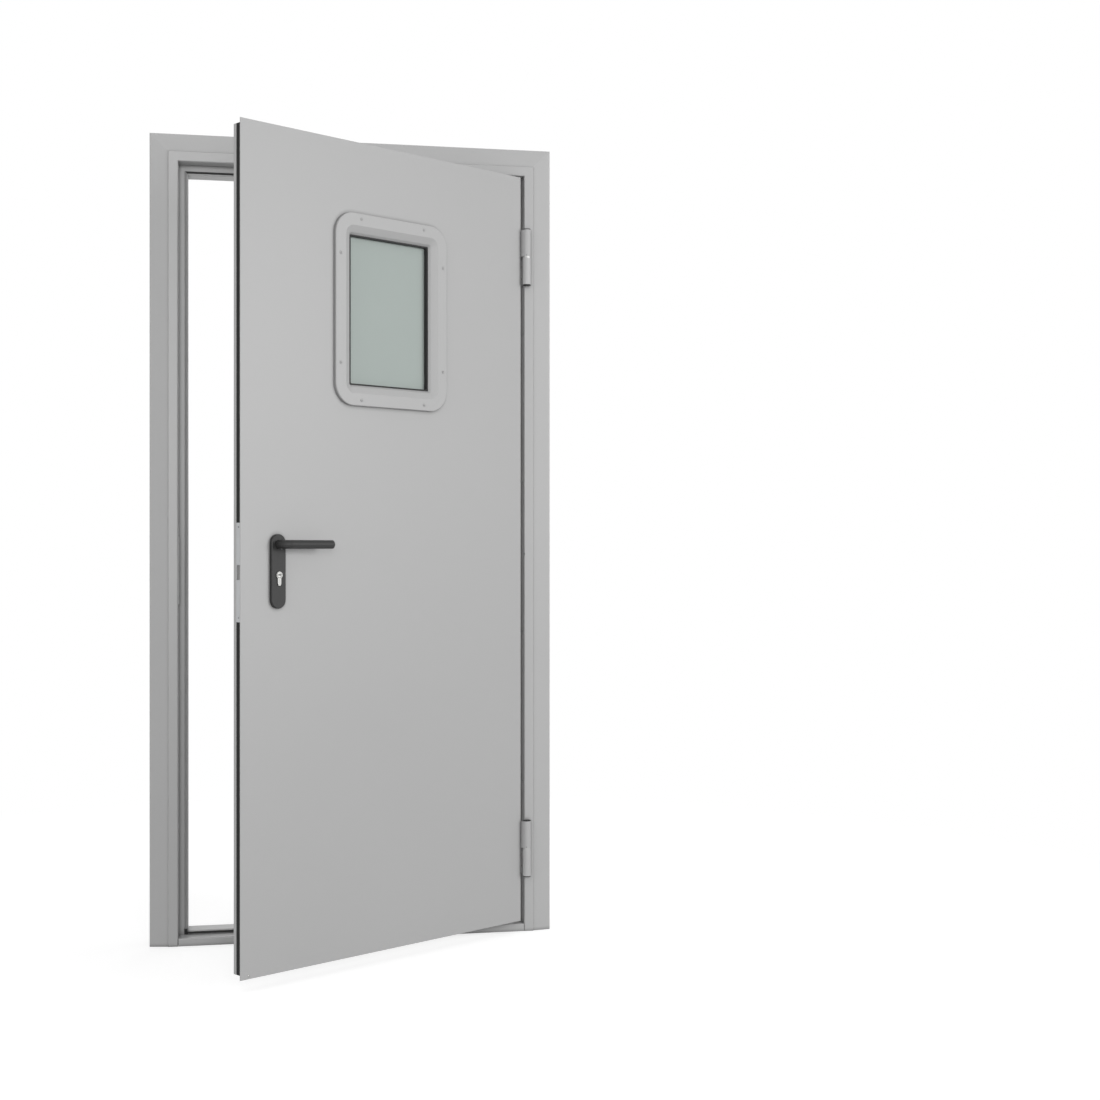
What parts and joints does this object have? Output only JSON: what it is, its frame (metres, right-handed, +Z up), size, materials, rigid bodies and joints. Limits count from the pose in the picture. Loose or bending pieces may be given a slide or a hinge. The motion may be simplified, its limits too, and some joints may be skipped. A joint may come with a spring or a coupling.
{
  "type": "steel utility door",
  "caption": "Single-leaf grey steel utility door with a vision panel, opening on side hinges in a four-sided steel frame with threshold, long-plate lever handle and profile cylinder lock.",
  "frame": {"origin": "middle of the doorway at floor level, in the plane of the wall's face, on the threshold's flat foot", "axes": "+X to the hinge side seen from the pull side, +Y into the wall from the pull side, +Z up"},
  "size_m": [1.05, 0.6071, 2.095],
  "materials": {
    "frame_paint": "fine satin powder coat, light grey",
    "leaf_paint": "fine satin powder coat, light grey",
    "zinc_steel": "zinc coated",
    "bare_steel": "turned steel",
    "nickel": "satin nickel",
    "black_seal": "matt black rubber",
    "expanding_strip": "matt black strip that swells in heat",
    "black_handle": "matt black moulded handle set",
    "mineral_wool": "pressed mineral wool slab",
    "pane": "grey-green fire-resisting glass"
  },
  "bodies": {
    "frame": {"frame_hinge_jamb": "frame_paint", "frame_lock_jamb": "frame_paint", "frame_head": "frame_paint", "frame_threshold": "frame_paint", "seal_hinge_side": "black_seal", "seal_lock_side": "black_seal", "seal_head": "black_seal", "seal_threshold": "black_seal", "strike_plate": "zinc_steel", "strike_box": "zinc_steel", "hinge_lower_frame_half": "frame_paint", "hinge_upper_frame_half": "frame_paint", "hinge_lower_pin": "bare_steel", "hinge_upper_pin": "bare_steel", "hinge_lower_washer": "bare_steel", "hinge_upper_washer": "bare_steel", "hinge_lower_frame_plate": "frame_paint", "hinge_upper_frame_plate": "frame_paint"},
    "leaf": {"leaf_front_sheet": "leaf_paint", "leaf_back_sheet": "leaf_paint", "leaf_edge_frame": "zinc_steel", "leaf_core": "mineral_wool", "edge_strip_lock": "expanding_strip", "edge_strip_hinge": "expanding_strip", "edge_strip_top": "expanding_strip", "edge_strip_bottom": "expanding_strip", "hinge_lower_leaf_half": "leaf_paint", "hinge_upper_leaf_half": "leaf_paint", "hinge_lower_pad": "leaf_paint", "hinge_upper_pad": "leaf_paint", "lock_forend": "zinc_steel", "lock_latch": "bare_steel", "lock_case": "zinc_steel", "lock_cylinder": "nickel", "handle_plate_front": "black_handle", "handle_plate_back": "black_handle", "window_trim_front": "leaf_paint", "window_trim_back": "leaf_paint", "window_gasket_front": "black_seal", "window_gasket_back": "black_seal", "window_glass": "pane"},
    "lever": {"lever_front": "black_handle", "lever_back": "black_handle", "lever_spindle": "bare_steel"}
  },
  "joints": [
    {"name": "leaf_swing", "type": "hinge", "parent": "frame", "child": "leaf", "pos_m": [0.4575, -0.0305, 1.0135], "axis": [0, 0, 1], "range_deg": [-33.6, 136.4]},
    {"name": "lever_turn", "type": "hinge", "parent": "leaf", "child": "lever", "pos_m": [-0.2289, -0.44753, 1.034], "axis": [-0.5534, 0.8329, 0], "range_deg": [0, 40], "stiffness_Nm_per_rad": 2.5, "springref_deg": -5.73}
  ]
}
